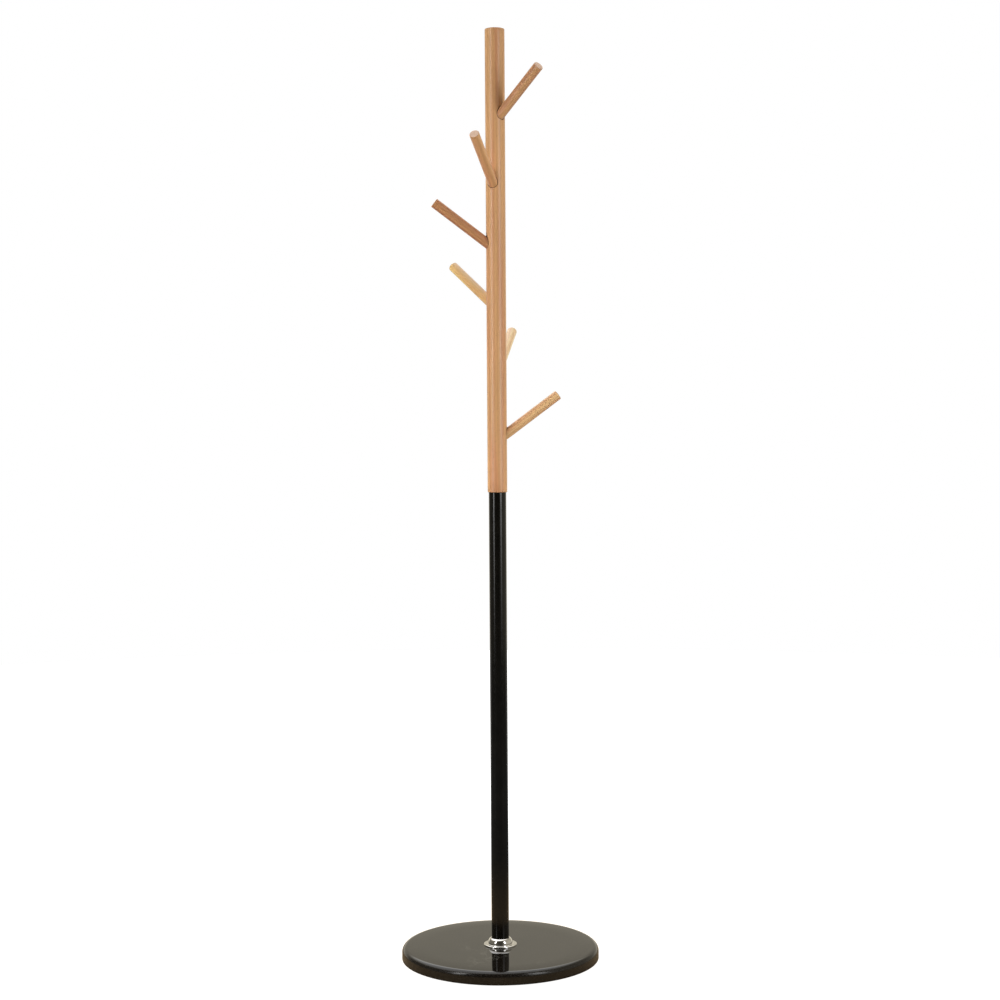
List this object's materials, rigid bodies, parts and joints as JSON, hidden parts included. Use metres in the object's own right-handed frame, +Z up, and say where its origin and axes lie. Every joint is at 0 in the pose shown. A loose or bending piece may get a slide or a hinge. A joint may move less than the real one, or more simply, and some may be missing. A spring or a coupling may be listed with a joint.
{
  "type": "standing coat rack",
  "caption": "Standing coat rack: a round polished black stone base, a black steel tube with a chrome collar, and a beech pole with round pegs that rise outward in a spiral.",
  "frame": {"origin": "on the floor, on the axis of the base, the tube and the pole: the undersides of the pads are at z = 0", "axes": "+Z up along the pole, -Y to the front, from where the rack is normally seen, +X to the right"},
  "size_m": [0.3619, 0.362, 1.7],
  "materials": {
    "black_stone": "polished",
    "black_tube": "gloss",
    "chrome": "polished",
    "beech": "satin",
    "zinc_steel": "satin",
    "pad_rubber": "matte"
  },
  "bodies": {
    "stand": {"base_slab": "black_stone", "base_bolt": "zinc_steel", "base_spring_washer": "zinc_steel", "base_washer": "zinc_steel", "tube_foot_plug": "zinc_steel", "lower_tube": "black_tube", "tube_top_plug": "zinc_steel", "joint_stud": "zinc_steel", "pole_insert": "zinc_steel", "upper_pole": "beech", "foot_pad_1": "pad_rubber", "foot_pad_2": "pad_rubber", "foot_pad_3": "pad_rubber", "foot_pad_4": "pad_rubber", "foot_pad_5": "pad_rubber", "peg_1": "beech", "peg_screw_1": "zinc_steel", "peg_2": "beech", "peg_screw_2": "zinc_steel", "peg_3": "beech", "peg_screw_3": "zinc_steel", "peg_4": "beech", "peg_screw_4": "zinc_steel", "peg_5": "beech", "peg_screw_5": "zinc_steel", "peg_6": "beech", "peg_screw_6": "zinc_steel"},
    "collar": {"collar": "chrome"}
  },
  "joints": [
    {"name": "collar_slide", "type": "slide", "parent": "stand", "child": "collar", "axis": [0, 0, 1], "range_m": [0, 0.8205]}
  ]
}
